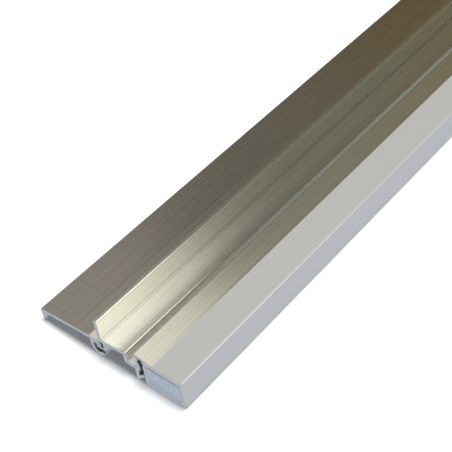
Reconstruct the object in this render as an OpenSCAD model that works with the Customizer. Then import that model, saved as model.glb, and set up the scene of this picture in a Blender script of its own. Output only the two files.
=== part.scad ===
// Aluminium threshold profile with a clip-in ramp, an upright fin, a seal groove and a nose with a core.
// The length runs along Y. The nose is on the +X side and the ramp falls towards -X.
// The origin is on the floor plane, midway across the width and midway along the length.

/* [Overall] */
// Length of the stock
stock_len = 914; // [300:1:3000]
// Width over the back lip of the ramp and the nose front
total_w = 100; // [92:1:140]
// Wall thickness of the centre section and the nose
wall = 2.2; // [1.8:0.1:2.7]
// Slack left between pieces that slide into each other
slack = 0.1; // [0.05:0.01:0.2]

/* [Nose section] */
// Width of the nose from its back wall to the front face
nose_w = 26; // [22:0.5:36]
// Height of the nose at its front edge
nose_h = 18.4; // [16:0.1:24]
// Width of the tread facet
tread_w = 19.4; // [15:0.1:21]
// Fall of the tread facet from the front edge to the crease
tread_fall = 0.8; // [0.2:0.1:1.2]
// Thickness of the wall under the tread facet
tread_t = 3.3; // [2.4:0.1:4]
// Rise of the cover lip from the crease to its tip
lip_rise = 2; // [1:0.1:2.6]
// Thickness of the cover lip
lip_t = 1.8; // [1.4:0.1:2.2]
// Overhang of the cover lip past the small groove wall
lip_over = 0.4; // [0:0.1:1]
// Radius of the three outer edges of the nose
nose_r = 0.9; // [0.4:0.1:1.4]
// Radius inside the chamber corners
chamber_r = 1.2; // [0.6:0.1:2]
// Clear height between the core and the wall under the tread facet
core_gap = 0.4; // [0.2:0.1:0.8]

/* [Thermal break] */
// Width of the strip between the centre section and the nose
break_w = 2.4; // [2:0.1:3]
// Height of the strip
break_h = 5; // [4:0.1:6]
// Radius of the ribs that key the strip into both walls
key_r = 0.7; // [0.5:0.05:0.9]

/* [Centre section] */
// Clear width of the seal groove
groove_w = 6.2; // [5:0.1:8]
// Height of the groove floor above the ground
groove_z = 9.5; // [8.6:0.1:11.4]
// Width of the web between the fin and the groove
web_w = 17; // [13:0.1:24]
// Thickness of the web
web_t = 2.5; // [2:0.1:3]
// Height of the web top at the foot of the fin
web_z = 13.4; // [11.2:0.1:16]
// Rise of the web from the fin to the groove
web_rise = 2.1; // [0.8:0.1:2.6]
// Height of the fin above the web
fin_h = 13.4; // [8:0.1:20]
// Thickness of the fin
fin_t = 2.4; // [2:0.1:3]
// Radius of the two edges along the top of the fin
fin_r = 0.5; // [0.3:0.1:0.8]
// Radius of the fillet between the fin and the web
fin_fillet = 1.8; // [0.8:0.1:3]
// Sideways step from the small groove wall to the leg under it
leg_step = 1.6; // [0.8:0.1:2]
// Thickness of the toe that closes the slot under the strip
toe_t = 1.6; // [1.2:0.1:2]
// Height at which the toe meets the nose
toe_z = 5; // [4.4:0.1:6]

/* [Clip joint] */
// Thickness of the tongue that slides under the web
tongue_t = 2.4; // [2:0.1:2.9]
// Length of the tongue
tongue_len = 6.5; // [5.5:0.1:8]
// Drop from the web top to the middle of the tongue tip
tongue_drop = 4.8; // [4.5:0.1:5.2]
// Thickness of the jaw under the tongue
jaw_t = 2.1; // [1.6:0.1:2.6]
// Angle at which the jaw ends, where 270 is straight down
jaw_end_a = 305; // [290:1:315]
// Radius of the heel that stands on the tongue
heel_r = 0.9; // [0.7:0.1:1]
// Radius of the bead that holds the tongue from below
bead_r = 1.1; // [0.8:0.1:1.3]
// Thickness of the hook that carries the bead
hook_t = 1.5; // [1.2:0.1:1.8]
// Clear width between the tongue tip and the neck of the hook
neck_gap = 1.6; // [0.6:0.1:2.4]

/* [Ramp] */
// Thickness of the ramp plate
ramp_t = 2.3; // [1.8:0.1:2.8]
// Height of the ramp at its back edge
ramp_back_z = 8.2; // [6.5:0.1:9.8]
// Step down from the web top to the clip end of the ramp
ramp_drop = 2.1; // [1.6:0.1:2.6]
// Width of the down-turned back lip where it meets the plate
back_lip_w = 4.8; // [3.6:0.1:7]
// Width of the back lip where it stands on the floor
back_foot_w = 1; // [0.8:0.1:1.6]
// Radius of the outer edge of the back lip
back_foot_r = 0.4; // [0.2:0.05:0.4]

/* [Hidden] */
$fn = 96;

// stations across the width
front_x = total_w / 2;
back_x = -total_w / 2;
nose_x = front_x - nose_w;
crease_x = front_x - tread_w;
inner_x = nose_x - break_w;
rib_x = inner_x - wall / 2;
groove_x = inner_x - wall - groove_w;
step_x = groove_x - wall / 2;
leg_x = rib_x - leg_step;
fin_face_x = groove_x - web_w;
fin_x = fin_face_x - fin_t / 2;
fin_back_x = fin_x - fin_t / 2;

// cover lip: its middle line falls from the tip to the crease
crease_z = nose_h - tread_fall;
lip_root = [crease_x, crease_z - lip_t / 2];
lip_tip = [inner_x - wall - lip_over + lip_t / 2, lip_root[1] + lip_rise];
lip_slope = lip_rise / (lip_root[0] - lip_tip[0]);
lip_stretch = sqrt(1 + lip_slope * lip_slope);
function lip_mid(x) = lip_root[1] + (crease_x - x) * lip_slope;
function lip_under(x) = lip_mid(x) - lip_t / 2 * lip_stretch;

// chamber in the nose
chamber_w = nose_w - 2 * wall;
chamber_h = crease_z + tread_fall / 2 - tread_t - wall;
chamber_dx = chamber_w - 2 * chamber_r;
chamber_dz = chamber_h - 2 * chamber_r;

// thermal break
break_z = lip_under(nose_x) - slack - break_h;
key_z = break_z + break_h / 2;

// web and groove
floor_z = groove_z - wall / 2;
web_start = [fin_x, web_z - web_t / 2];
web_end = [step_x, web_start[1] + web_rise];
rib_top_z = lip_under(rib_x) - wall / 2 * lip_stretch - slack;
fin_top_z = web_z + fin_h;
fin_foot_z = web_z + fin_t / 2 * web_rise / web_w - slack;

// clip joint: the tongue lies between the heel above it and the bead below it
heel_in = 0.5;
bead_in = 1.4;
jaw_in = 1.8;
root_dip = 0.2;
ramp_clip_z = web_z - ramp_drop;
tongue_tip = [fin_back_x, web_z - tongue_drop];
tongue_root = [fin_back_x - tongue_len, ramp_clip_z - ramp_t / 2 - root_dip];
tongue_slope = (tongue_root[1] - tongue_tip[1]) / tongue_len;
tongue_half = tongue_t / 2 * sqrt(1 + tongue_slope * tongue_slope);
function tongue_mid(inset) = tongue_tip[1] + inset * tongue_slope;
heel = [fin_back_x - heel_in, tongue_mid(heel_in) + tongue_half + heel_r + slack];
bead = [fin_back_x - bead_in, tongue_mid(bead_in) - tongue_half - bead_r - slack];
neck_x = fin_back_x + tongue_t / 2 + neck_gap + hook_t / 2;

// jaw: a ring that stands on the floor and grows out of the tongue
jaw_bite = 0.75;
jaw_bead = jaw_t + 0.3;
jaw_start_a = 120;
jaw_brace_a = 165;
jaw_r = (tongue_mid(jaw_in) + jaw_bite + jaw_t / 2) / 2;
jaw_x = fin_back_x - jaw_in;
jaw_brace_r = jaw_r - jaw_t / 2;
jaw_brace = [jaw_x + jaw_brace_r * cos(jaw_brace_a), jaw_r + jaw_brace_r * sin(jaw_brace_a)];

// ramp plate and its back lip
ramp_start = [back_x + ramp_t / 2, ramp_back_z - ramp_t / 2];
ramp_end = [tongue_root[0] - ramp_t / 4, ramp_clip_z - ramp_t / 2];
ramp_slope = (ramp_end[1] - ramp_start[1]) / (ramp_end[0] - ramp_start[0]);
lip_joint_z = ramp_start[1] + back_lip_w * ramp_slope - ramp_t / 2;

alu_grey = [0.76, 0.76, 0.75];
alu_warm = [0.70, 0.68, 0.63];
polyamide = [0.10, 0.10, 0.11];
core_blue = [0.62, 0.68, 0.74];

// Straight wall of thickness t with round ends, centred on the line from a to b
module bar(a, b, t) {
    span = norm(b - a);
    translate(a) rotate(atan2(b[1] - a[1], b[0] - a[0])) {
        translate([0, -t / 2]) square([span, t]);
        circle(d = t);
        translate([span, 0]) circle(d = t);
    }
}

// Fills the inside corner at p, above it and to its right
module fillet(p, r) {
    translate(p) difference() {
        square(r);
        translate([r, r]) circle(r);
    }
}

// Block w by h with its lower left corner at the origin and its two top edges rounded
module round_top(w, h, r) {
    square([w, h - r]);
    translate([r, h - 2 * r]) square([w - 2 * r, 2 * r]);
    for (x = [r, w - r]) translate([x, h - r]) circle(r);
}

// Ring sector from angle a0 to a1, with a rounded bead of diameter d at a1
module ring_sector(r, t, a0, a1, d) {
    reach = 2 * r;
    steps = 4;
    intersection() {
        difference() {
            circle(r);
            circle(r - t);
        }
        polygon(concat([[0, 0]], [
            for (i = [0 : steps])
                let (a = a0 + (a1 - a0) * i / steps) [reach * cos(a), reach * sin(a)]
        ]));
    }
    translate([(r - t / 2) * cos(a1), (r - t / 2) * sin(a1)]) circle(d = d);
}

// Wedge-shaped lip under the back edge of the ramp, standing on a narrow foot
module back_lip() {
    polygon([
        [back_x, ramp_start[1]],
        [back_x, back_foot_r],
        [back_x + back_foot_r, 0],
        [back_x + back_foot_w - back_foot_r, 0],
        [back_x + (back_foot_w + back_lip_w) / 2 + back_foot_r, ramp_start[1] / 2 - back_foot_r],
        [back_x + back_lip_w, lip_joint_z],
        [back_x + back_lip_w, lip_joint_z + ramp_t / 2]
    ]);
    translate([back_x + back_foot_r, back_foot_r]) circle(back_foot_r);
}

// Chamber of the nose, or the block that fills it: drawn in by gap all round and lowered by top_gap
module chamber(gap = 0, top_gap = 0) {
    r = chamber_r - gap;
    dz = chamber_dz - top_gap;
    translate([nose_x + wall + chamber_r, wall + chamber_r]) {
        translate([0, -r]) square([chamber_dx, dz + 2 * r]);
        translate([-r, 0]) square([chamber_dx + 2 * r, dz]);
        for (x = [0, chamber_dx], z = [0, dz]) translate([x, z]) circle(r);
    }
}

// Turns a section drawn as width and height into a length of profile
module profile() {
    translate([0, stock_len / 2, 0]) rotate([90, 0, 0]) linear_extrude(stock_len) children();
}

// Sloping plate with a down-turned lip at the back, a tongue and a jaw at the clip end
module ramp_flange() {
    color(alu_warm) profile() {
        bar(ramp_start, ramp_end, ramp_t);
        back_lip();
        bar(ramp_end, tongue_root, ramp_t);
        bar(tongue_root, tongue_tip, tongue_t);
        bar(tongue_root, jaw_brace, jaw_t - slack);
        translate([jaw_x, jaw_r]) ring_sector(jaw_r, jaw_t, jaw_start_a, jaw_end_a, jaw_bead);
    }
}

// Fin, web with its clip hook, seal groove and the leg with its toe
module centre_section() {
    color(alu_warm) profile() difference() {
        union() {
            translate([fin_back_x, web_start[1]]) round_top(fin_t, fin_top_z - web_start[1], fin_r);
            fillet([fin_face_x, fin_foot_z], fin_fillet);
            bar(web_start, web_end, web_t);
            bar(web_end, [step_x, floor_z], wall);
            bar([step_x, floor_z], [rib_x, floor_z], wall);
            bar([rib_x, floor_z], [rib_x, rib_top_z], wall);
            bar([leg_x, floor_z], [leg_x, wall / 2], wall);
            bar([leg_x, wall / 2], [nose_x - slack - toe_t / 2, toe_z], toe_t);
            bar(heel, web_start, 2 * heel_r);
            bar([neck_x, web_start[1]], [neck_x, bead[1]], hook_t);
            bar([neck_x, bead[1]], bead, hook_t);
            translate(bead) circle(bead_r);
        }
        translate([inner_x, key_z]) circle(key_r + slack);
    }
}

// Hollow nose with the tread facet on top and the cover lip over the groove wall
module nose_section() {
    color(alu_grey) profile() difference() {
        union() {
            polygon([
                [nose_x, nose_r],
                [nose_x + nose_r, 0],
                [front_x - nose_r, 0],
                [front_x, nose_r],
                [front_x, nose_h - nose_r],
                [front_x - nose_r, nose_h],
                [crease_x, crease_z],
                [nose_x, lip_mid(nose_x)]
            ]);
            for (x = [nose_x + nose_r, front_x - nose_r]) translate([x, nose_r]) circle(nose_r);
            translate([front_x - nose_r, nose_h - nose_r]) circle(nose_r);
            bar(lip_tip, lip_root, lip_t);
        }
        chamber();
        translate([nose_x, key_z]) circle(key_r + slack);
    }
}

// Rigid core with a sliding fit in the nose chamber
module nose_core() {
    color(core_blue) profile() chamber(slack, core_gap);
}

// Strip keyed between the groove wall and the nose
module thermal_break() {
    color(polyamide) profile() {
        translate([inner_x + slack / 2, break_z]) square([break_w - slack, break_h]);
        for (x = [inner_x, nose_x]) translate([x, key_z]) circle(key_r);
    }
}

ramp_flange();
centre_section();
nose_section();
nose_core();
thermal_break();
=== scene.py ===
"""Aluminium threshold profile: five long pieces, their finishes and a plain studio.

Everything is in metres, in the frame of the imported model. The width runs along X with the nose on
the +X side, the length runs along Y with the sawn near end on the -Y side, and the profile stands
on Z = 0. Sections are drawn in millimetres as (x, z) points and are scaled when their mesh is made.
"""

import logging
import math
from dataclasses import dataclass, field
from enum import Enum
from functools import cache

import bmesh
import bpy
from mathutils import Matrix, Vector
from mathutils.geometry import delaunay_2d_cdt, intersect_line_line_2d


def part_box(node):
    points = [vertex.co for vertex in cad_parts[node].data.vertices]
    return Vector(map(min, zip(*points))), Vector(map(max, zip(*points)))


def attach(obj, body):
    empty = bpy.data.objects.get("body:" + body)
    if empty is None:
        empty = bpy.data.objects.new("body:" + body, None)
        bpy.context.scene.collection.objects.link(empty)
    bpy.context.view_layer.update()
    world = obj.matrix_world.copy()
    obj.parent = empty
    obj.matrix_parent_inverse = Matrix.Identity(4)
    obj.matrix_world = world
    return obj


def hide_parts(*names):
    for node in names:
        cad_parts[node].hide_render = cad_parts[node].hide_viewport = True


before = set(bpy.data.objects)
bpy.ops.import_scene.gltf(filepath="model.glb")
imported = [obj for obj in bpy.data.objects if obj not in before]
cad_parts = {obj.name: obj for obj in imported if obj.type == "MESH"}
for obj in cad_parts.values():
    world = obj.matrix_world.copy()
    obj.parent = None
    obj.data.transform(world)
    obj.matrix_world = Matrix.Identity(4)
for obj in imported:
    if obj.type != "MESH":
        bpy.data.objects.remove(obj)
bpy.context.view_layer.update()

LOG = logging.getLogger("threshold_profile")

Point = tuple[float, float]
Band = tuple[float, float]
Triple = tuple[float, float, float]
Node = bpy.types.Node
Socket = bpy.types.NodeSocket

MM = 0.001
BODY = "root"
QUARTER = math.pi / 2
ARC_STEP = math.radians(6)
MERGE_MM = 0.02
TOUCH_MM = MERGE_MM / 10
CHAMFER_MM = 0.12
WELD = 0.001 * MM
JUST_PAST = 0.01

# What tells the cut ends, their rims, the small rounds and the hollows apart.
END_FACING = 0.9
RIM_FACING = 0.3
NARROW = 0.6 * MM
SLANT = 0.7
INWARD_ANGLE = 0.02
EDGE_SHARE = 0.1
SMOOTH_ANGLE = math.radians(28)
NORMAL_WEIGHT = 90

# A corner that turns back on itself has no inset, and a sharp one has a shorter one.
FLAT_CORNER = 0.2
SHARP_CORNER = 1.6

# The names of the vertex attribute, the map and the face attributes.
INSET = "inset"
LAY = "lay"
# Face mark for brighter edges, partly abraded metal and partly a painted highlight.
WEAR_AND_HIGHLIGHT = "wear_and_highlight"
SHELTER = "shelter"
# Face mark for painted shade in the inward rounds and on the rounds over a channel.
PAINTED_SHADE = "painted_shade"

# The range of a noise pattern's values that is spread over its whole effect.
MIDDLE: Band = (0.35, 0.65)
WIDE: Band = (0.3, 0.7)
TIGHT: Band = (0.38, 0.62)


class Finish(Enum):
    """The finishes that the profile shows."""

    MILL = "mill_aluminium"
    WARM_MILL = "warm_mill_aluminium"
    SATIN = "satin_aluminium"
    SAWN = "sawn_aluminium"
    CORE = "core_plastic"
    STRIP = "black_polyamide"
    STRIP_CUT = "cut_polyamide"


class Slot(Enum):
    """The record's material slots."""

    RAMP = "ramp_aluminium"
    CENTRE = "centre_aluminium"
    NOSE = "nose_aluminium"
    CORE = "core_plastic"
    STRIP = "break_polyamide"


# ---------------------------------- Sections ----------------------------------


@dataclass
class Section:
    """The cross section of one extrusion, added up from plain outlines with others cut out."""

    added: list[list[Point]] = field(default_factory=list)
    cut: list[list[Point]] = field(default_factory=list)

    def outline(self, points: list[Point]) -> None:
        """Add the area inside a closed outline."""
        self.added.append(points)

    def block(self, low: Point, high: Point) -> None:
        """Add a rectangle between two opposite corners."""
        self.added.append([low, (high[0], low[1]), high, (low[0], high[1])])

    def disc(self, centre: Point, radius: float) -> None:
        """Add a full disc."""
        self.added.append(arc(centre, radius, 0, math.tau)[:-1])

    def bar(self, start: Point, end: Point, thickness: float) -> None:
        """Add a straight wall whose ends are rounds about the two points."""
        turn = math.atan2(end[1] - start[1], end[0] - start[0])
        self.added.append(
            arc(start, thickness / 2, turn + QUARTER, turn + 3 * QUARTER)
            + arc(end, thickness / 2, turn - QUARTER, turn + QUARTER)
        )

    def path(self, points: list[Point], thickness: float) -> None:
        """Add straight walls from point to point."""
        for start, end in zip(points, points[1:]):
            self.bar(start, end, thickness)

    def notch(self, centre: Point, radius: float) -> None:
        """Cut a disc."""
        self.cut.append(arc(centre, radius, 0, math.tau)[:-1])

    def rim(self) -> tuple[list[Vector], list[tuple[int, int]]]:
        """Work out the rim of all added areas less all cut ones.

        Returns:
            The rim's points, and its lines as pairs of point numbers.
        """
        points: list[Vector] = []
        faces: list[list[int]] = []
        for shape in self.added + self.cut:
            order = list(range(len(points), len(points) + len(shape)))
            faces.append(order if turns_left(shape) else order[::-1])
            points += [Vector(p) for p in shape]
        made = delaunay_2d_cdt(points, [], faces, 0, TOUCH_MM)
        solid = len(self.added)
        work = bmesh.new()
        corners = [work.verts.new((c.x, 0, c.y)) for c in made[0]]
        for triangle, shapes in zip(made[2], made[5]):
            if shapes and all(s < solid for s in shapes):
                work.faces.new([corners[i] for i in triangle])
        inner = [e for e in work.edges if not e.is_boundary]
        bmesh.ops.delete(work, geom=inner, context="EDGES")
        bmesh.ops.delete(work, geom=[v for v in work.verts if not v.link_edges], context="VERTS")
        bmesh.ops.remove_doubles(work, verts=work.verts[:], dist=MERGE_MM)
        work.verts.index_update()
        lines = [(e.verts[0].index, e.verts[1].index) for e in work.edges]
        found = [Vector((v.co.x, v.co.z)) for v in work.verts]
        work.free()
        return found, lines

    def flat_mesh(self, name: str) -> bpy.types.Mesh:
        """Fill the section with triangles in the plane Y = 0, facing +Y.

        Each outline vertex holds the attribute INSET, the step into the metal that moves the
        outline in by one unit.

        Args:
            name: name of the mesh.

        Returns:
            The flat mesh, in metres.
        """
        corners, rim = self.rim()
        made = delaunay_2d_cdt(corners, rim, [], 0, TOUCH_MM)
        corners, rim, triangles = made[0], made[1], made[2]
        ends = [(made[0][a], made[0][b]) for (a, b), source in zip(made[1], made[4]) if source]
        middles = [sum((corners[i] for i in t), Vector((0, 0))) / 3 for t in triangles]
        kept = [t for t, middle in zip(triangles, middles) if inside(middle, ends)]
        mesh = bpy.data.meshes.new(name)
        mesh.from_pydata([(c.x * MM, 0, c.y * MM) for c in corners], [], kept)
        work = bmesh.new()
        work.from_mesh(mesh)
        bmesh.ops.delete(work, geom=[v for v in work.verts if not v.link_faces], context="VERTS")
        bmesh.ops.recalc_face_normals(work, faces=work.faces[:])
        if sum(f.normal.y for f in work.faces) < 0:
            bmesh.ops.reverse_faces(work, faces=work.faces[:])
        inset = work.verts.layers.float_vector.new(INSET)
        for vertex in work.verts:
            vertex[inset] = inward_step(vertex)
        work.to_mesh(mesh)
        work.free()
        return mesh


def turns_left(shape: list[Point]) -> bool:
    """Whether a closed outline runs anticlockwise, which the filling needs."""
    return sum(a[0] * b[1] - b[0] * a[1] for a, b in zip(shape, shape[1:] + shape[:1])) > 0


def inside(point: Vector, rim: list[tuple[Vector, Vector]]) -> bool:
    """Whether a point has an odd number of a rim's lines to its right, and so lies inside it."""
    crossings = 0
    for a, b in rim:
        if (a.y > point.y) != (b.y > point.y):
            crossings += point.x < a.x + (point.y - a.y) / (b.y - a.y) * (b.x - a.x)
    return crossings % 2 == 1


def polar(centre: Point, radius: float, angle: float) -> Point:
    """The point at a radius and an angle, in radians, from a centre."""
    return (centre[0] + radius * math.cos(angle), centre[1] + radius * math.sin(angle))


def arc(centre: Point, radius: float, start: float, end: float) -> list[Point]:
    """Points every ARC_STEP or so along an arc between two angles in radians, with both ends."""
    steps = max(2, round(abs(end - start) / ARC_STEP))
    return [polar(centre, radius, start + (end - start) * i / steps) for i in range(steps + 1)]


def rounded_block(low: Point, high: Point, radius: float) -> list[Point]:
    """The outline of a rectangle between two opposite corners, all four rounded."""
    left, right = low[0] + radius, high[0] - radius
    base, top = low[1] + radius, high[1] - radius
    return (
        arc((right, base), radius, -QUARTER, 0)
        + arc((right, top), radius, 0, QUARTER)
        + arc((left, top), radius, QUARTER, 2 * QUARTER)
        + arc((left, base), radius, 2 * QUARTER, 3 * QUARTER)
    )


def inward_step(vertex: bmesh.types.BMVert) -> Vector:
    """The step that moves an outline vertex one unit into the metal, square to both its edges."""
    step = Vector((0, 0, 0))
    for edge in vertex.link_edges:
        if not edge.is_boundary:
            continue
        along = (edge.verts[1].co - edge.verts[0].co).normalized()
        square = along.cross(Vector((0, 1, 0)))
        towards = edge.link_faces[0].calc_center_median() - edge.verts[0].co
        step += square if square.dot(towards) > 0 else -square
    if step.length < FLAT_CORNER:
        return Vector((0, 0, 0))
    return step * min(2 / step.length_squared, SHARP_CORNER / step.length)


# ---------------------------------- Node trees ----------------------------------


@dataclass
class Graph:
    """Short ways to add and link nodes in one tree."""

    tree: bpy.types.NodeTree

    def add(self, kind: str, inputs: dict | None = None, **settings: object) -> Node:
        """Add a node.

        Args:
            kind: the node's type.
            inputs: what to feed its inputs, by their name or number.
            settings: the properties to set.

        Returns:
            The node.
        """
        node = self.tree.nodes.new(kind)
        for key, value in settings.items():
            setattr(node, key, value)
        self.fill(node, inputs or {})
        return node

    def out(self, kind: str, inputs: dict | None = None, **settings: object) -> Socket:
        """Add a node and give its first output."""
        return self.add(kind, inputs, **settings).outputs[0]

    def fill(self, node: Node, inputs: dict) -> None:
        """Feed some inputs of a node, by their name or number, with sockets or plain values."""
        for key, value in inputs.items():
            target = node.inputs[key]
            if isinstance(value, Socket):
                self.tree.links.new(value, target)
            elif isinstance(value, tuple) and target.type == "RGBA":
                target.default_value = (*value, 1)
            else:
                target.default_value = value

    def calculate(self, operation: str, *values: object) -> Socket:
        """Add a Math node with a socket or a number for each input."""
        return self.out("ShaderNodeMath", dict(enumerate(values)), operation=operation)

    def axes(self, vector: Socket) -> bpy.types.NodeOutputs:
        """The X, Y and Z of a vector."""
        return self.add("ShaderNodeSeparateXYZ", {0: vector}).outputs

    def spread(
        self, value: object, band: Band, a: float = 0, b: float = 1, kind: str = "LINEAR"
    ) -> Socket:
        """Map a value from a band to a..b, held at both ends, with a Map Range of that kind."""
        inputs = dict(enumerate((value, *band, a, b)))
        return self.out("ShaderNodeMapRange", inputs, interpolation_type=kind)

    def around(self, value: Socket, band: Band, middle: float, by: float) -> Socket:
        """Map a value from a band to as much below and above a middle."""
        return self.spread(value, band, middle - by, middle + by)

    def noise(self, where: Socket, detail: float, roughness: float = 0.5) -> Socket:
        """A noise pattern of scale 1 with some finer layers, and values of about 0.2 to 0.8."""
        inputs = {"Scale": 1, "Detail": detail, "Roughness": roughness, "Vector": where}
        return self.out("ShaderNodeTexNoise", inputs)

    def pattern(
        self, scale: Triple, detail: float, roughness: float = 0.5, turn: float = 0
    ) -> Socket:
        """A noise pattern that is fixed to the piece.

        Args:
            scale: features per metre along each axis.
            detail: number of finer layers.
            roughness: strength of the finer layers.
            turn: turn about Y, in radians.

        Returns:
            Its value.
        """
        source = self.add("ShaderNodeTexCoord").outputs["Object"]
        inputs = {"Vector": source, "Scale": scale, "Rotation": (0, turn, 0)}
        placed = self.out("ShaderNodeMapping", inputs, vector_type="POINT")
        return self.noise(placed, detail, roughness)

    def blend(self, share: object, first: object, second: object, kind: str = "MIX") -> Socket:
        """Mix two colours, the second one with the given share."""
        inputs = {"Factor": share, "A": first, "B": second}
        node = self.add("ShaderNodeMix", inputs, data_type="RGBA", blend_type=kind)
        return node.outputs["Result"]

    def tint(self, colour: object, by: object) -> Socket:
        """Multiply a colour by another one or by a number."""
        return self.blend(1.0, colour, by, "MULTIPLY")

    def attribute(self, name: str) -> Socket:
        """The value of a face attribute."""
        return self.add("ShaderNodeAttribute", attribute_name=name).outputs["Fac"]

    def bump(self, height: Socket, depth: float) -> Socket:
        """The normal bent by a height pattern, whose values 0 and 1 lie that many metres apart."""
        return self.out("ShaderNodeBump", {"Distance": depth, "Height": height})


def bare_graph(owner: bpy.types.Material | bpy.types.World) -> Graph:
    """The graph of a new material or world, without its first nodes."""
    owner.use_nodes = True
    owner.node_tree.nodes.clear()
    return Graph(owner.node_tree)


def extrusion_sockets() -> bpy.types.NodeTree:
    """A Geometry Nodes tree with a value or a finish to give for each part of an extrusion."""
    tree = bpy.data.node_groups.new("sawn_extrusion", "GeometryNodeTree")
    kinds = {"Section": "Geometry", "Length": "Float", "Chamfer": "Float", "Second From": "Float"}
    kinds |= {f"{part} Finish": "Material" for part in ("Side", "Second", "End")}
    for label, kind in kinds.items():
        tree.interface.new_socket(label, in_out="INPUT", socket_type=f"NodeSocket{kind}")
    tree.interface.new_socket("Profile", in_out="OUTPUT", socket_type="NodeSocketGeometry")
    return tree


@dataclass
class Extrusion(Graph):
    """The Geometry Nodes that turn a flat section into a sawn length of profile."""

    tree: bpy.types.NodeTree = field(default_factory=extrusion_sockets)

    def build(self) -> bpy.types.NodeTree:
        """Fill the tree.

        Returns:
            The tree.
        """
        given = self.add("NodeGroupInput").outputs
        whole = self.whole_length(self.half_length(given))
        self.add("NodeGroupOutput", {"Profile": self.dressed(given, whole)})
        return self.tree

    def push_out(self, mesh: Socket, length: Socket, chosen: Socket | bool = True) -> Node:
        """Push the chosen faces out along Y, all of them together."""
        offset = self.out("ShaderNodeCombineXYZ", {"Y": length})
        inputs = {"Mesh": mesh, "Selection": chosen, "Offset": offset, "Individual": False}
        return self.add("GeometryNodeExtrudeMesh", inputs, mode="FACES")

    def half_length(self, given: bpy.types.NodeOutputs) -> Socket:
        """Push the section out to +Y by half the length, its last step drawn in by the chamfer."""
        chamfer = given["Chamfer"]
        half = self.calculate("MULTIPLY", given["Length"], 0.5)
        body = self.push_out(given["Section"], self.calculate("SUBTRACT", half, chamfer))
        rim = self.push_out(body.outputs["Mesh"], chamfer, body.outputs["Top"])
        named = {"Name": INSET}
        inset = self.out("GeometryNodeInputNamedAttribute", named, data_type="FLOAT_VECTOR")
        drawn = self.out("ShaderNodeVectorMath", {0: inset, "Scale": chamfer}, operation="SCALE")
        inputs = {"Geometry": rim.outputs["Mesh"], "Selection": rim.outputs["Top"], "Offset": drawn}
        return self.out("GeometryNodeSetPosition", inputs)

    def whole_length(self, half: Socket) -> Socket:
        """Weld the half to its mirror image."""
        mirrored = self.out("GeometryNodeTransform", {"Geometry": half, "Scale": (1, -1, 1)})
        joined = self.add("GeometryNodeJoinGeometry", {"Geometry": half})
        self.fill(joined, {"Geometry": self.out("GeometryNodeFlipFaces", {"Mesh": mirrored})})
        inputs = {"Geometry": joined.outputs["Geometry"], "Distance": WELD}
        merged = self.out("GeometryNodeMergeByDistance", inputs)
        return self.out("GeometryNodeRealizeInstances", {"Geometry": merged})

    def dressed(self, given: bpy.types.NodeOutputs, whole: Socket) -> Socket:
        """Set the finishes of the sides, of the part past "Second From" and of the cut ends."""
        normal = self.axes(self.out("GeometryNodeInputNormal"))
        place = self.axes(self.out("GeometryNodeInputPosition"))
        is_end = self.calculate("GREATER_THAN", self.calculate("ABSOLUTE", normal["Y"]), END_FACING)
        is_second = self.calculate("GREATER_THAN", place["X"], given["Second From"])
        for part, chosen in (("Side", True), ("Second", is_second), ("End", is_end)):
            inputs = {"Geometry": whole, "Selection": chosen, "Material": given[f"{part} Finish"]}
            whole = self.out("GeometryNodeSetMaterial", inputs)
        return whole


# ---------------------------------- Finishes ----------------------------------


@dataclass(frozen=True, kw_only=True)
class Recipe:
    """How one finish is made. Each kind of recipe feeds its own patterns to a bare shader."""

    colour: Triple
    roughness: float
    roughness_spread: float = 0.1

    def material(self, name: str) -> bpy.types.Material:
        """Make the material.

        Args:
            name: its name.

        Returns:
            The material, with one Principled shader.
        """
        made = bpy.data.materials.new(name)
        graph = bare_graph(made)
        shader = graph.out("ShaderNodeBsdfPrincipled", self.inputs(graph))
        graph.add("ShaderNodeOutputMaterial", {"Surface": shader})
        return made

    def inputs(self, graph: Graph) -> dict:
        """What to feed the shader, by the names of its inputs."""
        raise NotImplementedError

    def rough(self, graph: Graph, pattern: Socket, band: Band = WIDE) -> Socket:
        """The roughness where a pattern has a value in a band."""
        return graph.around(pattern, band, self.roughness, self.roughness_spread)


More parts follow.
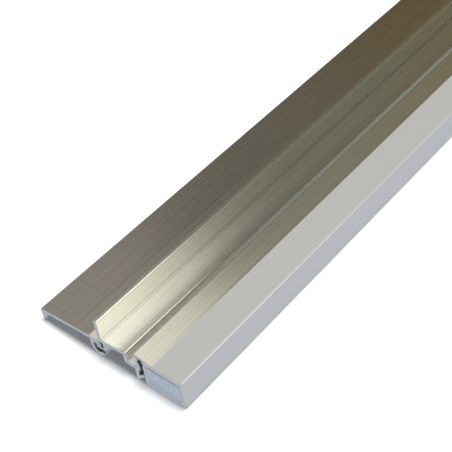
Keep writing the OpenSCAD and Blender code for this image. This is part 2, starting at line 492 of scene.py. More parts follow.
@dataclass(frozen=True, kw_only=True)
class DrawnMetal(Recipe):
    """Aluminium with the fine lengthwise lines that the die leaves, bare or under a satin coat."""

    dull_colour: Triple
    anisotropy: float
    line_depth: float
    line_contrast: float
    tarnish: float
    stain: Triple
    second_stain: Triple
    # Brighter colour of the narrow outward rounds and the cut rims, and its share: partly abraded
    # metal, partly a painted highlight.
    edge_wear_highlight_colour: Triple
    edge_wear_and_highlight: float = 0.25
    edge_polish: float = 0.3
    metallic: float = 1.0
    streak_share: float = 0.55
    patch_band: Band = (0.35, 0.7)
    mark_band: Band = (0.7, 1.3)
    channel_oxide: float = 0.3
    channel_roughness: float = 0.05
    # Colour factor of the painted shade in the inward rounds and on the rounds over a channel.
    painted_shade_factor: float = 0.65

    def inputs(self, graph: Graph) -> dict:
        """Die lines, streaks, dull patches, faint stains, edges brightened partly as abraded metal
        and partly as a painted highlight, painted shade in the inward rounds and over the channels,
        and duller channels.
        """
        fine = graph.pattern((2600, 2.2, 2600), 3, 0.7)
        lines = graph.pattern((1100, 1.1, 1100), 3, 0.6)
        streaks = graph.pattern((120, 1.6, 120), 2)
        patches = graph.pattern((26, 11, 26), 3, 0.6)
        stains = graph.pattern((21, 14, 21), 2)
        channel, worn_and_highlit, painted_shade = (graph.attribute(name) for name in (SHELTER, WEAR_AND_HIGHLIGHT, PAINTED_SHADE))
        patchy = graph.spread(patches, self.patch_band, 0, 1 - self.streak_share)
        streaky = graph.spread(streaks, MIDDLE)
        dull = graph.calculate("MULTIPLY_ADD", streaky, self.streak_share, patchy)
        tarnished = graph.calculate("MULTIPLY", dull, self.tarnish)
        colour = graph.blend(tarnished, self.colour, self.dull_colour)
        shade = graph.around(lines, WIDE, 1, self.line_contrast)
        stain = graph.blend(graph.spread(stains, TIGHT), self.stain, self.second_stain)
        tinted = graph.tint(graph.tint(colour, shade), stain)
        # Edges brightened partly as abraded metal and partly as a painted highlight on the rounds.
        rubbed_and_highlit = graph.calculate("MULTIPLY", worn_and_highlit, self.edge_wear_and_highlight)
        edged = graph.blend(rubbed_and_highlit, tinted, self.edge_wear_highlight_colour)
        rough = self.rough(graph, graph.calculate("ADD", lines, streaks), self.mark_band)
        polish = graph.calculate("MULTIPLY", worn_and_highlit, -self.edge_polish * self.roughness)
        worked = graph.calculate("ADD", rough, polish)
        bare = self.metallic * (1 - self.channel_oxide)
        return {
            # Painted shade: darker colour in the hollows of the inward rounds and on the rounds
            # over a channel.
            "Base Color": graph.tint(edged, graph.spread(painted_shade, (0, 1), 1, self.painted_shade_factor)),
            "Metallic": graph.spread(channel, (0, 1), self.metallic, bare),
            "Roughness": graph.calculate("MULTIPLY_ADD", channel, self.channel_roughness, worked),
            "Anisotropic": self.anisotropy,
            "Tangent": graph.out("ShaderNodeTangent", direction_type="UV_MAP", uv_map=LAY),
            "Normal": graph.bump(graph.calculate("ADD", lines, fine), self.line_depth),
        }


@dataclass(frozen=True, kw_only=True)
class SawnMetal(Recipe):
    """A cut end, with the close marks of the saw across it."""

    mark_colour: Triple
    mark_depth: float
    mark_turn: float
    mark_share: float = 0.6
    patch_shade: Band = (0.93, 1.05)

    def inputs(self, graph: Graph) -> dict:
        """Saw marks, a few deeper scores and soft tonal patches."""
        marks = graph.pattern((5200, 300, 240), 3, 0.6, self.mark_turn)
        scores = graph.pattern((900, 60, 40), 2, turn=self.mark_turn)
        patches = graph.pattern((170, 170, 170), 3, 0.6)
        deeper = graph.calculate("MULTIPLY", scores, 1 - self.mark_share)
        tone = graph.calculate("MULTIPLY_ADD", marks, self.mark_share, deeper)
        mixed = graph.blend(graph.spread(tone, MIDDLE), self.colour, self.mark_colour)
        return {
            "Base Color": graph.tint(mixed, graph.spread(patches, WIDE, *self.patch_shade)),
            "Metallic": 1.0,
            "Roughness": self.rough(graph, marks),
            "Normal": graph.bump(tone, self.mark_depth),
        }


@dataclass(frozen=True, kw_only=True)
class SawnCore(Recipe):
    """Rigid pale plastic with fine cells, torn a little by the saw."""

    cell_colour: Triple
    fleck_colour: Triple
    cell_depth: float
    fleck_share: float = 0.7
    fleck_band: Band = (1.1, 1.35)
    specular: float = 0.3

    def inputs(self, graph: Graph) -> dict:
        """Cells, soft blotches and a few pale flecks."""
        cells = graph.pattern((2600, 2600, 2600), 3, 0.6)
        blotches = graph.pattern((420, 420, 420), 3, 0.55)
        height = graph.calculate("ADD", cells, blotches)
        mixed = graph.blend(graph.spread(blotches, MIDDLE), self.colour, self.cell_colour)
        flecks = graph.spread(height, self.fleck_band, 0, self.fleck_share)
        return {
            "Base Color": graph.blend(flecks, mixed, self.fleck_colour),
            "Roughness": self.rough(graph, cells),
            "Specular IOR Level": self.specular,
            "Normal": graph.bump(height, self.cell_depth),
        }


@dataclass(frozen=True, kw_only=True)
class ExtrudedPlastic(Recipe):
    """Glass-filled polyamide: matt black with a fine grain and faint lengthwise lines."""

    pale_colour: Triple
    pale_share: float = 0.6
    pale_band: Band = (0.95, 1.4)
    specular: float = 0.35
    grain_depth: float = 0.00004

    def inputs(self, graph: Graph) -> dict:
        """Grain and pale fibre flecks."""
        grain = graph.pattern((4200, 500, 4200), 3, 0.6)
        lines = graph.pattern((900, 3, 900), 2)
        both = graph.calculate("ADD", grain, lines)
        share = graph.spread(both, self.pale_band, 0, self.pale_share)
        return {
            "Base Color": graph.blend(share, self.colour, self.pale_colour),
            "Roughness": self.rough(graph, grain),
            "Specular IOR Level": self.specular,
            "Normal": graph.bump(grain, self.grain_depth),
        }


@dataclass(frozen=True, kw_only=True)
class Paper(Recipe):
    """Matt pale paper with a faint grain."""

    colour: Triple = (0.86, 0.86, 0.86)
    grain_shade: Band = (0.985, 1.0)
    roughness: float = 0.9
    specular: float = 0.0

    def inputs(self, graph: Graph) -> dict:
        """A faint grain."""
        grain = graph.spread(graph.pattern((40, 40, 40), 4), WIDE, *self.grain_shade)
        return {
            "Base Color": graph.tint(self.colour, grain),
            "Roughness": self.roughness,
            "Specular IOR Level": self.specular,
        }


RECIPES: dict[Finish, Recipe] = {
    Finish.MILL: DrawnMetal(
        colour=(0.775, 0.775, 0.74),
        dull_colour=(0.64, 0.635, 0.59),
        roughness=0.25,
        roughness_spread=0.04,
        anisotropy=0.88,
        line_depth=0.0000012,
        line_contrast=0.06,
        tarnish=0.6,
        stain=(0.995, 0.985, 0.98),
        second_stain=(0.975, 1.0, 0.97),
        edge_wear_highlight_colour=(0.84, 0.84, 0.8),
    ),
    Finish.WARM_MILL: DrawnMetal(
        colour=(0.70, 0.685, 0.672),
        dull_colour=(0.56, 0.54, 0.532),
        roughness=0.27,
        roughness_spread=0.04,
        anisotropy=0.85,
        line_depth=0.0000015,
        line_contrast=0.045,
        tarnish=0.5,
        stain=(0.975, 0.985, 0.93),
        second_stain=(1.02, 0.96, 0.985),
        edge_wear_highlight_colour=(0.76, 0.75, 0.73),
    ),
    Finish.SATIN: DrawnMetal(
        colour=(0.615, 0.615, 0.61),
        dull_colour=(0.595, 0.592, 0.58),
        roughness=0.62,
        roughness_spread=0.02,
        anisotropy=0.1,
        line_depth=0.000001,
        line_contrast=0.015,
        tarnish=0.3,
        stain=(0.995, 0.99, 1.0),
        second_stain=(0.985, 1.0, 0.985),
        edge_wear_highlight_colour=(0.95, 0.94, 0.9),
        edge_wear_and_highlight=0.05,
        metallic=0.5,
    ),
    Finish.SAWN: SawnMetal(
        colour=(0.88, 0.89, 0.88),
        mark_colour=(0.72, 0.735, 0.745),
        roughness=0.48,
        roughness_spread=0.07,
        mark_depth=0.000012,
        mark_turn=0.35,
    ),
    Finish.CORE: SawnCore(
        colour=(0.62, 0.70, 0.78),
        cell_colour=(0.44, 0.54, 0.66),
        fleck_colour=(0.80, 0.85, 0.90),
        roughness=0.75,
        cell_depth=0.00012,
    ),
    Finish.STRIP: ExtrudedPlastic(
        colour=(0.012, 0.012, 0.013), pale_colour=(0.05, 0.05, 0.052), roughness=0.6
    ),
    Finish.STRIP_CUT: ExtrudedPlastic(
        colour=(0.02, 0.02, 0.021), pale_colour=(0.09, 0.09, 0.09), roughness=0.75
    ),
}


@cache
def finished(finish: Finish) -> bpy.types.Material:
    """The material of a finish, made the first time it is asked for."""
    return RECIPES[finish].material(finish.value)


# ------------------------------ The five pieces -------------------------------


@dataclass(frozen=True)
class Stations:
    """Shared lines of the section, in millimetres, which more than one piece follows."""

    total_w: float = 100
    wall: float = 2.2
    slack: float = 0.1
    nose_w: float = 26
    nose_h: float = 18.4
    tread_w: float = 19.4
    tread_fall: float = 0.8
    break_w: float = 2.4
    lip_rise: float = 2
    lip_t: float = 1.8
    lip_over: float = 0.4
    groove_w: float = 6.2
    web_w: float = 17
    web_z: float = 13.4
    fin_t: float = 2.4
    tongue_t: float = 2.4
    tongue_len: float = 6.5
    tongue_drop: float = 4.8
    ramp_t: float = 2.3
    ramp_drop: float = 2.1
    root_dip: float = 0.2
    key_r: float = 0.7
    break_h: float = 5
    tread_t: float = 3.3
    chamber_r: float = 1.2

    @property
    def front_x(self) -> float:
        """Front face of the nose."""
        return self.total_w / 2

    @property
    def nose_x(self) -> float:
        """Back wall of the nose."""
        return self.front_x - self.nose_w

    @property
    def crease(self) -> Point:
        """Crease between the tread facet and the cover lip."""
        return (self.front_x - self.tread_w, self.nose_h - self.tread_fall)

    def on_tread(self, distance: float) -> Point:
        """Point of the tread facet at some distance from the crease."""
        x, z = self.crease
        return (x + distance, z + distance * self.tread_fall / self.tread_w)

    @property
    def inner_x(self) -> float:
        """Face of the centre section against the strip."""
        return self.nose_x - self.break_w

    @property
    def groove_x(self) -> float:
        """Left wall of the seal groove."""
        return self.inner_x - self.wall - self.groove_w

    @property
    def fin_back_x(self) -> float:
        """Face of the fin on the ramp side."""
        return self.groove_x - self.web_w - self.fin_t

    @property
    def chamber(self) -> tuple[Point, Point]:
        """Lower left and upper right corners of the chamber in the nose."""
        top = self.crease[1] + self.tread_fall / 2 - self.tread_t
        return (self.nose_x + self.wall, self.wall), (self.front_x - self.wall, top)

    @property
    def lip_root(self) -> Point:
        """Middle of the cover lip at the crease."""
        return (self.crease[0], self.crease[1] - self.lip_t / 2)

    @property
    def lip_tip(self) -> Point:
        """Middle of the round at the tip of the cover lip."""
        x = self.inner_x - self.wall - self.lip_over + self.lip_t / 2
        return (x, self.lip_root[1] + self.lip_rise)

    @property
    def lip_slope(self) -> float:
        """Rise of the cover lip per unit towards its tip."""
        return self.lip_rise / (self.lip_root[0] - self.lip_tip[0])

    def lip_middle(self, x: float) -> float:
        """Height of the cover lip's middle line at x."""
        return self.lip_root[1] + (self.crease[0] - x) * self.lip_slope

    def lip_under(self, x: float) -> float:
        """Height of the underside of the cover lip at x."""
        return self.lip_middle(x) - self.lip_t / 2 * math.hypot(1, self.lip_slope)

    @property
    def break_z(self) -> float:
        """Underside of the strip."""
        return self.lip_under(self.nose_x) - self.slack - self.break_h

    @property
    def key_z(self) -> float:
        """Height of the ribs on the strip."""
        return self.break_z + self.break_h / 2

    @property
    def ramp_clip_z(self) -> float:
        """Top of the ramp at its clip end."""
        return self.web_z - self.ramp_drop

    @property
    def tongue_root(self) -> Point:
        """Middle of the tongue where it leaves the ramp."""
        z = self.ramp_clip_z - self.ramp_t / 2 - self.root_dip
        return (self.fin_back_x - self.tongue_len, z)

    @property
    def tongue_tip(self) -> Point:
        """Middle of the round at the tip of the tongue."""
        return (self.fin_back_x, self.web_z - self.tongue_drop)

    @property
    def tongue_slope(self) -> float:
        """Fall of the tongue per unit towards its tip."""
        return (self.tongue_root[1] - self.tongue_tip[1]) / self.tongue_len

    @property
    def tongue_half(self) -> float:
        """Half of the tongue's thickness, measured upright."""
        return self.tongue_t / 2 * math.hypot(1, self.tongue_slope)

    def tongue_middle(self, inset: float) -> float:
        """Height of the tongue's middle line, that far in from its tip."""
        return self.tongue_tip[1] + inset * self.tongue_slope


@dataclass
class Shelter:
    """Tells how deep in a channel a place on the profile lies, from the outlines of all pieces."""

    walls: list[tuple[Vector, Vector]]
    reach: float = 20.0
    step_off: float = 0.03
    fan: tuple[float, ...] = (-50, -25, 0, 25, 50)
    open_share: float = 0.4
    full_share: float = 0.6

    @classmethod
    def of(cls, sections: list[Section]) -> "Shelter":
        """The shelter that the pieces with these sections give each other."""
        walls: list[tuple[Vector, Vector]] = []
        for section in sections:
            points, lines = section.rim()
            walls += [(points[a], points[b]) for a, b in lines]
        return cls(walls)

    def share(self, place: Vector, outward: Vector) -> float:
        """How much of what a place faces is close metal.

        Args:
            place: the place, in millimetres.
            outward: its outward direction.

        Returns:
            0 in the open and 1 where metal is close on all sides.
        """
        blocked = 0
        for turn in self.fan:
            way = outward.copy()
            way.rotate(Matrix.Rotation(math.radians(turn), 2))
            start, stop = place + way * self.step_off, place + way * self.reach
            blocked += any(intersect_line_line_2d(start, stop, a, b) for a, b in self.walls)
        return blocked / len(self.fan)

    def depth(self, share: float) -> float:
        """How deep in a channel a place with that share lies, from 0 in the open to 1."""
        return min(1.0, max(0.0, (share - self.open_share) / (self.full_share - self.open_share)))


@dataclass
class Piece:
    """One extrusion: its section, its finishes and how it is swept to the stock's length."""

    node: str
    slot: Slot
    side: Finish
    end: Finish
    tree: bpy.types.NodeTree
    lines: Stations = field(default_factory=Stations)
    second: Finish | None = None
    second_from: float = 1.0
    drawn: Section = field(default_factory=Section, init=False)

    def __post_init__(self) -> None:
        """Draw the section."""
        self.draw()

    def draw(self) -> None:
        """Draw the piece's cross section, which each kind of piece does for itself."""
        raise NotImplementedError

    def build(self, shelter: Shelter) -> None:
        """Make the piece, put it in place of its CAD node and report it.

        Args:
            shelter: what tells how deep in a channel each face lies.
        """
        low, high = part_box(self.node)
        name = f"{self.node}_extrusion"
        flat = in_scene(name, self.drawn.flat_mesh(name))
        self.sweep(flat, high.y - low.y)
        finish_mesh(flat, shelter)
        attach(flat, BODY)
        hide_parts(self.node)
        across = [v.co.x / MM for v in flat.data.vertices]
        count = len(flat.data.polygons)
        LOG.info("%s: %d faces, x %.2f to %.2f mm", name, count, min(across), max(across))

    def sweep(self, flat: bpy.types.Object, length: float) -> None:
        """Run the extrusion tree on the flat section and keep its result as a plain mesh.

        Args:
            flat: the object that holds the section.
            length: length of the stock, in metres.
        """
        modifier = flat.modifiers.new("sweep", "NODES")
        modifier.node_group = self.tree
        values = {
            "Length": length,
            "Chamfer": CHAMFER_MM * MM,
            "Second From": self.second_from,
            "Side Finish": finished(self.side),
            "Second Finish": finished(self.second or self.side),
            "End Finish": finished(self.end),
        }
        for item in self.tree.interface.items_tree:
            if item.in_out == "INPUT" and item.name in values:
                modifier[item.identifier] = values[item.name]
        keep_result(flat, modifier)


@dataclass
class RampFlange(Piece):
    """The sloping plate with its back lip, its tongue and its jaw."""

    jaw_t: float = 2.1
    jaw_end: float = 305
    jaw_start: float = 120
    jaw_brace: float = 165
    jaw_in: float = 1.8
    jaw_bite: float = 0.75
    bead_extra: float = 0.3
    back_z: float = 8.2
    back_lip_w: float = 4.8
    foot_w: float = 1
    foot_r: float = 0.4

    def draw(self) -> None:
        """Plate, back lip, tongue and jaw."""
        lines, drawn = self.lines, self.drawn
        back = -lines.total_w / 2
        start = (back + lines.ramp_t / 2, self.back_z - lines.ramp_t / 2)
        end = (lines.tongue_root[0] - lines.ramp_t / 4, lines.ramp_clip_z - lines.ramp_t / 2)
        drawn.bar(start, end, lines.ramp_t)
        self.draw_back_lip(back, start, (end[1] - start[1]) / (end[0] - start[0]))
        drawn.bar(end, lines.tongue_root, lines.ramp_t)
        drawn.bar(lines.tongue_root, lines.tongue_tip, lines.tongue_t)
        self.draw_jaw()

    def draw_back_lip(self, back: float, start: Point, slope: float) -> None:
        """Draw the wedge-shaped lip under the back edge.

        Args:
            back: the back edge.
            start: middle of the plate's first round.
            slope: rise of the plate per unit.
        """
        lines = self.lines
        joint = start[1] + self.back_lip_w * slope - lines.ramp_t / 2
        reach = (self.foot_w + self.back_lip_w) / 2 + self.foot_r
        self.drawn.outline(
            [(back, start[1])]
            + arc((back + self.foot_r, self.foot_r), self.foot_r, 2 * QUARTER, 3 * QUARTER)
            + [
                (back + self.foot_w - self.foot_r, 0),
                (back + reach, start[1] / 2 - self.foot_r),
                (back + self.back_lip_w, joint),
                (back + self.back_lip_w, joint + lines.ramp_t / 2),
            ]
        )

    def draw_jaw(self) -> None:
        """Draw the C-shaped jaw that stands on the floor and grows out of the tongue."""
        lines, drawn = self.lines, self.drawn
        radius = (lines.tongue_middle(self.jaw_in) + self.jaw_bite + self.jaw_t / 2) / 2
        centre = (lines.fin_back_x - self.jaw_in, radius)
        first, last = math.radians(self.jaw_start), math.radians(self.jaw_end)
        inner, middle = radius - self.jaw_t, radius - self.jaw_t / 2
        brace = polar(centre, middle, math.radians(self.jaw_brace))
        drawn.bar(lines.tongue_root, brace, self.jaw_t - lines.slack)
        drawn.outline(arc(centre, radius, first, last) + arc(centre, inner, last, first))
        drawn.disc(polar(centre, middle, last), (self.jaw_t + self.bead_extra) / 2)


@dataclass
class CentreSection(Piece):
    """The upright fin, the web with its clip hook, the seal groove and the leg with its toe."""

    groove_z: float = 9.5
    web_t: float = 2.5
    web_rise: float = 2.1
    fin_h: float = 13.4
    fin_r: float = 0.5
    fin_fillet: float = 1.8
    leg_step: float = 1.6
    toe_t: float = 1.6
    toe_z: float = 5
    heel_r: float = 0.9
    heel_in: float = 0.5
    bead_r: float = 1.1
    bead_in: float = 1.4
    hook_t: float = 1.5
    neck_gap: float = 1.6

    def draw(self) -> None:
        """Fin, web, groove, leg, toe, heel and hook."""
        web_start = self.draw_fin_and_web()
        self.draw_groove_and_leg(web_start)
        self.draw_clip(web_start)
        lines = self.lines
        self.drawn.notch((lines.inner_x, lines.key_z), lines.key_r + lines.slack)

    def draw_fin_and_web(self) -> Point:
        """Draw the fin, its fillet and the web.

        Returns:
            Middle of the web at the fin.
        """
        lines, drawn = self.lines, self.drawn
        left, right = lines.fin_back_x, lines.fin_back_x + lines.fin_t
        top = lines.web_z + self.fin_h
        start = ((left + right) / 2, lines.web_z - self.web_t / 2)
        drawn.outline(
            [(left, start[1]), (right, start[1])]
            + arc((right - self.fin_r, top - self.fin_r), self.fin_r, 0, QUARTER)
            + arc((left + self.fin_r, top - self.fin_r), self.fin_r, QUARTER, 2 * QUARTER)
        )
        foot = lines.web_z + lines.fin_t / 2 * self.web_rise / lines.web_w - lines.slack
        middle = (right + self.fin_fillet, foot + self.fin_fillet)
        drawn.outline(
            [(right - lines.slack, foot), (right - lines.slack, middle[1])]
            + arc(middle, self.fin_fillet, 2 * QUARTER, 3 * QUARTER)
        )
        drawn.bar(start, (lines.groove_x - lines.wall / 2, start[1] + self.web_rise), self.web_t)
        return start

    def draw_groove_and_leg(self, web_start: Point) -> None:
        """Draw the step, the groove floor, the small groove wall, the leg and the toe.

        Args:
            web_start: middle of the web at the fin.
        """
        lines, drawn = self.lines, self.drawn
        half = lines.wall / 2
        step_x, rib_x, floor_z = lines.groove_x - half, lines.inner_x - half, self.groove_z - half
        rib_top = lines.lip_under(rib_x) - half * math.hypot(1, lines.lip_slope) - lines.slack
        step = (step_x, web_start[1] + self.web_rise)
        drawn.path([step, (step_x, floor_z), (rib_x, floor_z), (rib_x, rib_top)], lines.wall)
        leg_x = rib_x - self.leg_step
        drawn.bar((leg_x, floor_z), (leg_x, half), lines.wall)
        toe = (lines.nose_x - lines.slack - self.toe_t / 2, self.toe_z)
        drawn.bar((leg_x, half), toe, self.toe_t)

    def draw_clip(self, web_start: Point) -> None:
        """Draw the heel that stands on the tongue and the hook with its bead below it.

        Args:
            web_start: middle of the web at the fin.
        """
        lines, drawn = self.lines, self.drawn
        heel_z = lines.tongue_middle(self.heel_in) + lines.tongue_half + self.heel_r + lines.slack
        bead_z = lines.tongue_middle(self.bead_in) - lines.tongue_half - self.bead_r - lines.slack
        bead = (lines.fin_back_x - self.bead_in, bead_z)
        neck_x = lines.fin_back_x + lines.tongue_t / 2 + self.neck_gap + self.hook_t / 2
        drawn.bar((lines.fin_back_x - self.heel_in, heel_z), web_start, 2 * self.heel_r)
        drawn.path([(neck_x, web_start[1]), (neck_x, bead_z), bead], self.hook_t)
        drawn.disc(bead, self.bead_r)


@dataclass
class NoseSection(Piece):
    """The nose with its chamber, the satin tread facet and the cover lip over the groove wall."""

    nose_r: float = 0.9
    crease_strip_w: float = 0.5

    def draw(self) -> None:
        """Rounded outline with a narrow strip at the crease that takes a faint painted highlight,
        cover lip, chamber and key notch.
        """
        lines, drawn = self.lines, self.drawn
        left, right, top = lines.nose_x, lines.front_x, lines.nose_h
        rounded = self.nose_r
        # The strip beside the crease gets the brighter edge colour: a faint painted highlight along
        # it.
        drawn.outline(
            arc((left + rounded, rounded), rounded, 2 * QUARTER, 3 * QUARTER)
            + arc((right - rounded, rounded), rounded, 3 * QUARTER, 4 * QUARTER)
            + arc((right - rounded, top - rounded), rounded, 0, QUARTER)
            + [lines.on_tread(self.crease_strip_w), lines.crease, (left, lines.lip_middle(left))]
        )
        drawn.bar(lines.lip_tip, lines.lip_root, lines.lip_t)
        drawn.cut.append(rounded_block(*lines.chamber, lines.chamber_r))
        drawn.notch((left, lines.key_z), lines.key_r + lines.slack)


@dataclass
class NoseCore(Piece):
    """The rigid core in the nose chamber, a little lower than the wall above it."""

    core_gap: float = 0.4

    def draw(self) -> None:
        """A rounded block with a sliding fit in the chamber."""
        slack, (low, high) = self.lines.slack, self.lines.chamber
        base = (low[0] + slack, low[1] + slack)
        top = (high[0] - slack, high[1] - self.core_gap - slack)
        self.drawn.outline(rounded_block(base, top, self.lines.chamber_r - slack))


@dataclass
class ThermalBreak(Piece):
    """The black strip with a rib keyed into each wall beside it."""

    def draw(self) -> None:
        """Strip and its two ribs."""
        lines, drawn = self.lines, self.drawn
        left = lines.inner_x + lines.slack / 2
        right, top = left + lines.break_w - lines.slack, lines.break_z + lines.break_h
        drawn.block((left, lines.break_z), (right, top))
        drawn.disc((lines.inner_x, lines.key_z), lines.key_r)
        drawn.disc((lines.nose_x, lines.key_z), lines.key_r)


def in_scene(name: str, data: bpy.types.ID) -> bpy.types.Object:
    """Make an object from its data and put it in the scene."""
    made = bpy.data.objects.new(name, data)
    bpy.context.scene.collection.objects.link(made)
    return made


def keep_result(piece: bpy.types.Object, modifier: bpy.types.Modifier) -> None:
    """Turn what a modifier makes of a piece into the piece's own plain mesh, and take it off."""
    seen = piece.evaluated_get(bpy.context.evaluated_depsgraph_get())
    mesh = bpy.data.meshes.new_from_object(seen)
    piece.modifiers.remove(modifier)
    old, piece.data = piece.data, mesh
    bpy.data.meshes.remove(old)
    mesh.name = piece.name


def finish_mesh(piece: bpy.types.Object, shelter: Shelter) -> None:
    """Give a swept piece its lay map, its marks for brighter edges, painted shade and shelter, and
    its smooth and sharp edges.

    The map LAY runs its first direction round the section, square to the die lines, so that the
    metal shines across them. WEAR_AND_HIGHLIGHT is 1 on the narrow outward rounds and on the cut
    rims, whose colour is brightened partly as abraded metal and partly as a painted highlight.
    PAINTED_SHADE is 1 in the hollow of the inward rounds and on the rounds over a channel, whose
    colour is darkened as painted shade, and SHELTER is 1 deep in the channels.

    Args:
        piece: the piece, whose mesh is changed.
        shelter: what tells how deep a face lies.
    """
    known: dict[tuple[float, ...], float] = {}
    work = bmesh.new()
    work.from_mesh(piece.data)
    lay = work.loops.layers.uv.new(LAY)
    wear_and_highlight = work.faces.layers.float.new(WEAR_AND_HIGHLIGHT)
    depth = work.faces.layers.float.new(SHELTER)
    painted_shade = work.faces.layers.float.new(PAINTED_SHADE)
    for face in work.faces:
        normal = face.normal
        if abs(normal.y) > END_FACING:
            along, across = Vector((1, 0, 0)), Vector((0, 0, 1))
        else:
            along, across = Vector((normal.z, 0, -normal.x)).normalized(), Vector((0, 1, 0))
            middle = face.calc_center_bounds() / MM
            key = (round(middle.x, 2), round(middle.z, 2), round(normal.x, 1), round(normal.z, 1))
            if key not in known:
                square = Vector((normal.x, normal.z)).normalized()
                known[key] = shelter.share(Vector((middle.x, middle.z)), square)
            spans = [loop.vert.co.dot(along) for loop in face.loops]
            narrow = max(spans) - min(spans) < NARROW
            inward = sum(edge.calc_face_angle_signed(0) < -INWARD_ANGLE for edge in face.edges)
            slanted = abs(abs(normal.x) - abs(normal.z)) < SLANT
            over_channel = normal.x > 0 and known[key] > EDGE_SHARE
            # Partly abrasion, partly painted highlight: narrow outward rounds and the cut rims get
            # the brighter edge colour.
            face[wear_and_highlight] = float((narrow and inward < 2) or abs(normal.y) > RIM_FACING)
            # Painted shade: narrow slanted faces in an inward round or on a round over a channel.
            face[painted_shade] = float(narrow and slanted and (inward > 0 or over_channel))
            face[depth] = shelter.depth(known[key])
        for loop in face.loops:
            loop[lay].uv = (loop.vert.co.dot(along), loop.vert.co.dot(across))
    work.to_mesh(piece.data)
    work.free()
    piece.data.shade_smooth()
    piece.data.set_sharp_from_angle(angle=SMOOTH_ANGLE)
    weigh = piece.modifiers.new("weigh", "WEIGHTED_NORMAL")
    weigh.keep_sharp = True
    weigh.weight = NORMAL_WEIGHT
    keep_result(piece, weigh)


# ----------------------------------- Studio -----------------------------------


@dataclass
class OverheadLamp:
    """A broad lamp with soft shadows, so far away that it lights the whole floor alike.

    Mirror-like metal doesn't show it, as it would burn out in the long rounded edges.
    """

    lean: tuple[float, float] = (0.03, 0.12)
    strength: float = 2.9
    spread: float = 24

    def build(self) -> None:
        """Make the lamp and put it in the scene."""
        lamp = bpy.data.lights.new("overhead_lamp", "SUN")
        lamp.energy = self.strength
        lamp.angle = math.radians(self.spread)
        made = in_scene("overhead_lamp", lamp)
        made.visible_glossy = False
        down = Vector((-self.lean[0], -self.lean[1], -1))
        made.rotation_euler = down.to_track_quat("-Z", "Y").to_euler()


@dataclass
class Surroundings:
    """What the metal mirrors: a pale room on the near and nose side, a dim one past the far end.

    Directions are unit vectors, so their x and y say how far to the nose side and the far end they
    point. A band is the part of x, y or z over which one tone gives way to the next.
    """

    pale: Triple = (1.0, 1.0, 0.92)
    pale_across: Band = (-0.56, 0.4)
    pale_levels: Band = (0.27, 2.35)
    fading: Band = (0.34, 0.46)
    faded: float = 0.6
    pale_end: Band = (0.435, 0.48)
    behind: Triple = (0.24, 0.255, 0.28)
    behind_end: Band = (0.05, 0.3)
    dim: Triple = (0.14, 0.135, 0.113)
    dim_across: Band = (-0.58, -0.3)
    dim_levels: Band = (0.93, 1.75)
    amber: Triple = (0.131, 0.088, 0.028)
    amber_start: Band = (0.6, 0.72)
    amber_across: Band = (-0.5, -0.35)
    amber_left: float = 0.35
    cool: Triple = (1.3, 1.42, 2.05)
    cool_start: Band = (0.8, 0.93)
    ground: Triple = (0.57, 0.62, 0.695)
    horizon: Band = (-0.02, 0.02)
    plum: Triple = (0.98, 0.88, 0.87)
    olive: Triple = (1.06, 1.13, 1.02)
    clutter_scale: float = 13

    def build(self) -> bpy.types.World:
        """Make the surroundings.

        Returns:
            The world, which shows plain white to the camera itself.
        """
        world = bpy.data.worlds.new("studio_surroundings")
        graph = bare_graph(world)
        way = graph.out("ShaderNodeTexCoord")
        x, y, z = graph.axes(way)
        room = self.near_to_far(graph, x, y)
        sky = graph.blend(graph.spread(x, self.cool_start), room, self.cool)
        inputs = {0: way, "Scale": self.clutter_scale}
        scaled = graph.out("ShaderNodeVectorMath", inputs, operation="SCALE")
        clutter = graph.spread(graph.noise(scaled, 2), TIGHT)
        sky = graph.tint(sky, graph.blend(clutter, self.plum, self.olive))
        around = graph.blend(graph.spread(z, self.horizon, 1, 0), sky, self.ground)
        soft = graph.out("ShaderNodeBackground", {"Color": around})
        plain = graph.out("ShaderNodeBackground", {"Color": (1, 1, 1)})
        seen = graph.add("ShaderNodeLightPath").outputs["Is Camera Ray"]
        chosen = graph.out("ShaderNodeMixShader", {0: seen, 1: soft, 2: plain})
        graph.add("ShaderNodeOutputWorld", {"Surface": chosen})
        return world

    def near_to_far(self, graph: Graph, x: Socket, y: Socket) -> Socket:
        """The tones from behind the near end to past the far end, for a direction's x and y."""
        faded = graph.spread(y, self.fading, 1, self.faded)
        ending = graph.spread(y, self.pale_end, 1, 0, "SMOOTHSTEP")
        near = graph.calculate("MULTIPLY", faded, ending)
        ahead = graph.tint(self.pale, graph.spread(x, self.pale_across, *self.pale_levels))
        bright = graph.blend(graph.spread(y, self.behind_end), self.behind, ahead)
        side = graph.spread(x, self.amber_across, 1, self.amber_left)
        far = graph.calculate("MULTIPLY", graph.spread(y, self.amber_start), side)
        low = graph.blend(far, self.dim, self.amber)
        dark = graph.tint(low, graph.spread(x, self.dim_across, *self.dim_levels))
        return graph.blend(near, dark, bright)


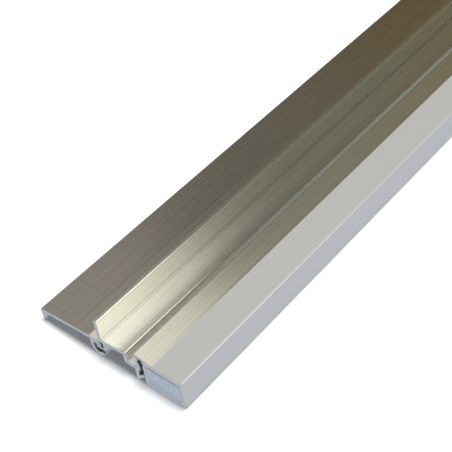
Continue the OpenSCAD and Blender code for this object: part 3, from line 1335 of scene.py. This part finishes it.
@dataclass
class StudioCamera:
    """The camera, set by the point it looks at, its direction and its roll."""

    aim: Triple = (-0.01396, -0.35099, 0.0)
    distance: float = 0.57234
    azimuth: float = 45.82
    elevation: float = 43.39
    roll: float = -8.78
    lens: float = 82.1
    sensor: float = 36
    sight: Band = (0.01, 100)

    def build(self) -> None:
        """Make the camera and make it the scene's own."""
        data = bpy.data.cameras.new("studio_camera")
        data.lens = self.lens
        data.sensor_width = self.sensor
        data.clip_start, data.clip_end = self.sight
        made = in_scene("studio_camera", data)
        turn, rise = math.radians(self.azimuth), math.radians(self.elevation)
        flat = Vector((math.sin(turn), -math.cos(turn), 0)) * math.cos(rise)
        back = flat + Vector((0, 0, math.sin(rise)))
        made.location = Vector(self.aim) + back * self.distance
        level = (-back).to_track_quat("-Z", "Y").to_matrix()
        made.rotation_euler = (level @ Matrix.Rotation(math.radians(self.roll), 3, "Z")).to_euler()
        bpy.context.scene.camera = made


@dataclass
class Studio:
    """Plain pale floor, soft light all round, an overhead lamp and the camera."""

    floor_half: float = 40.0
    floor_z: float = -0.0002

    def build(self) -> None:
        """Make the floor, the surroundings, the lamp and the camera."""
        bpy.context.scene.view_settings.view_transform = "Standard"
        self.lay_floor()
        bpy.context.scene.world = Surroundings().build()
        OverheadLamp().build()
        StudioCamera().build()

    def lay_floor(self) -> None:
        """Make the floor as a wide flat sheet of paper, which the metal doesn't mirror."""
        half, z = self.floor_half, self.floor_z
        mesh = bpy.data.meshes.new("studio_floor")
        corners = [(-half, -half, z), (half, -half, z), (half, half, z), (-half, half, z)]
        mesh.from_pydata(corners, [], [(0, 1, 2, 3)])
        mesh.materials.append(Paper().material("pale_paper"))
        floor = in_scene("studio_floor", mesh)
        floor.visible_glossy = False


def main() -> None:
    """Build the five pieces and the studio."""
    logging.basicConfig(level=logging.INFO, format="%(name)s: %(message)s")
    tree = Extrusion().build()
    metal = (Finish.MILL, Finish.SAWN, tree)
    satin = {"second": Finish.SATIN, "second_from": (Stations().crease[0] + JUST_PAST) * MM}
    pieces: list[Piece] = [
        RampFlange("ramp_flange", Slot.RAMP, Finish.WARM_MILL, Finish.SAWN, tree),
        CentreSection("centre_section", Slot.CENTRE, *metal),
        NoseSection("nose_section", Slot.NOSE, *metal, **satin),
        NoseCore("nose_core", Slot.CORE, Finish.CORE, Finish.CORE, tree),
        ThermalBreak("thermal_break", Slot.STRIP, Finish.STRIP, Finish.STRIP_CUT, tree),
    ]
    shelter = Shelter.of([piece.drawn for piece in pieces])
    for piece in pieces:
        piece.build(shelter)
    Studio().build()


if __name__ == "__main__":
    main()
